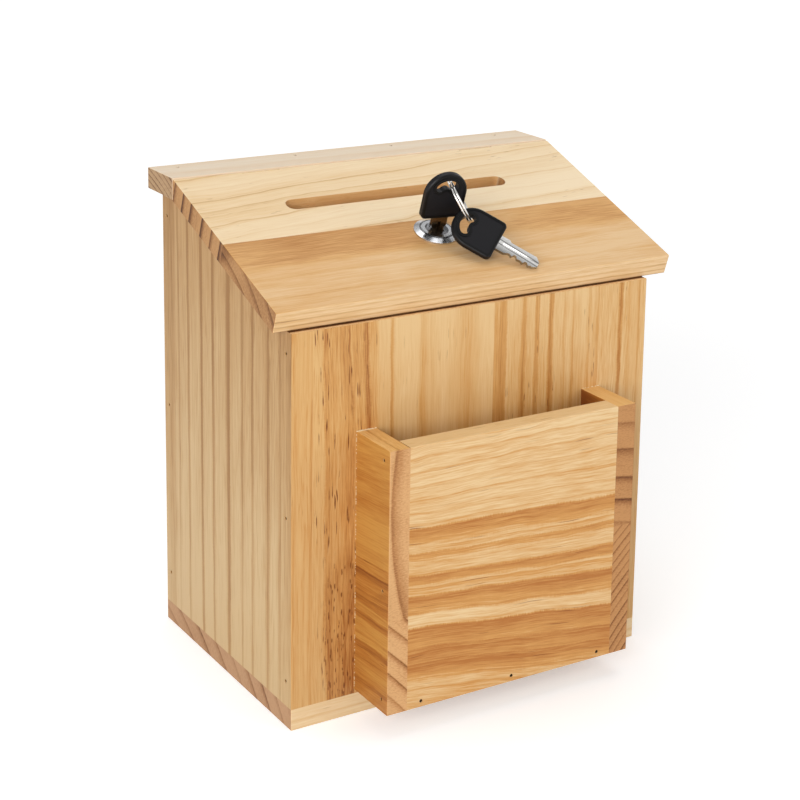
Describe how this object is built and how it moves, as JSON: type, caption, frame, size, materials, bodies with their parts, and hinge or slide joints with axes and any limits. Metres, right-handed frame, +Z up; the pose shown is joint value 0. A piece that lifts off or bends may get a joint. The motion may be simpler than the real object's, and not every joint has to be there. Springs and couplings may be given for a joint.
{
  "type": "suggestion box",
  "caption": "Wooden suggestion box with a sloping hinged lid, paper slot, cam lock with keys on a split ring, and a card pocket on the front.",
  "frame": {"origin": "on the floor, under the middle of the bounding box", "axes": "+Z up, front and card pocket towards -Y, +X to the right seen from the front"},
  "size_m": [0.216, 0.168, 0.2457],
  "materials": {
    "pine_case": "clear satin lacquer on knotless pine, vertical grain",
    "pine_lid": "clear satin lacquer on pine, grain along the ridge",
    "pine_pocket": "clear satin lacquer on warm pine",
    "brad_steel": "dulled steel brad heads, sunk",
    "aged_brass": "aged brass hinge leaves",
    "lock_chrome": "polished chrome",
    "zinc_steel": "zinc plated steel",
    "key_nickel": "bright nickel, milled",
    "key_plastic": "satin black moulded plastic",
    "ring_nickel": "bright nickel spring wire"
  },
  "bodies": {
    "case": {"base_board": "pine_case", "back_panel": "pine_case", "left_side_panel": "pine_case", "right_side_panel": "pine_case", "front_panel_stave_1": "pine_case", "front_panel_stave_2": "pine_case", "front_panel_stave_3": "pine_case", "front_panel_stave_4": "pine_case", "top_strip": "pine_lid", "pocket_left_lower": "pine_pocket", "pocket_left_upper": "pine_pocket", "pocket_right_lower": "pine_pocket", "pocket_right_upper": "pine_pocket", "pocket_front": "pine_pocket", "pocket_bottom": "pine_pocket", "left_side_brads": "brad_steel", "right_side_brads": "brad_steel", "strip_brads": "brad_steel", "base_brads": "brad_steel", "pocket_side_brads": "brad_steel", "pocket_front_brads": "brad_steel", "left_hinge_fixed_leaf": "aged_brass", "right_hinge_fixed_leaf": "aged_brass", "left_hinge_pin": "aged_brass", "right_hinge_pin": "aged_brass", "hinge_strip_screws": "aged_brass", "keeper": "zinc_steel", "keeper_screws": "zinc_steel"},
    "lid": {"lid_rear_stave": "pine_lid", "lid_front_stave": "pine_lid", "left_hinge_moving_leaf": "aged_brass", "right_hinge_moving_leaf": "aged_brass", "hinge_lid_screws": "aged_brass", "lock_housing": "lock_chrome", "lock_nut": "zinc_steel"},
    "lock_core": {"lock_plug": "lock_chrome", "lock_cam": "zinc_steel", "cam_screw": "zinc_steel"},
    "key": {"key_blade": "key_nickel", "key_head": "key_plastic"},
    "ring": {"split_ring": "ring_nickel"},
    "spare_key": {"spare_key_blade": "key_nickel", "spare_key_head": "key_plastic"}
  },
  "joints": [
    {"name": "lid_hinge", "type": "hinge", "parent": "case", "child": "lid", "pos_m": [0, 0.0538, 0.23651], "axis": [-1, 0, 0], "range_deg": [0, 112]},
    {"name": "lock_turn", "type": "hinge", "parent": "lid", "child": "lock_core", "pos_m": [-0.0015, -0.01208, 0.21411], "axis": [0, 0.3354, -0.9421], "range_deg": [0, 90]},
    {"name": "key_slide", "type": "slide", "parent": "lock_core", "child": "key", "axis": [0, -0.3354, 0.9421], "range_m": [0, 0.018]},
    {"name": "ring_swing", "type": "hinge", "parent": "key", "child": "ring", "pos_m": [0.00061, -0.02127, 0.23945], "axis": [-0.0785, -0.9392, -0.3344], "range_deg": [0, 100]},
    {"name": "spare_key_swing", "type": "hinge", "parent": "ring", "child": "spare_key", "pos_m": [0.00756, -0.02662, 0.22218], "axis": [-0.1825, -0.7317, 0.6567], "range_deg": [0, 45]}
  ]
}
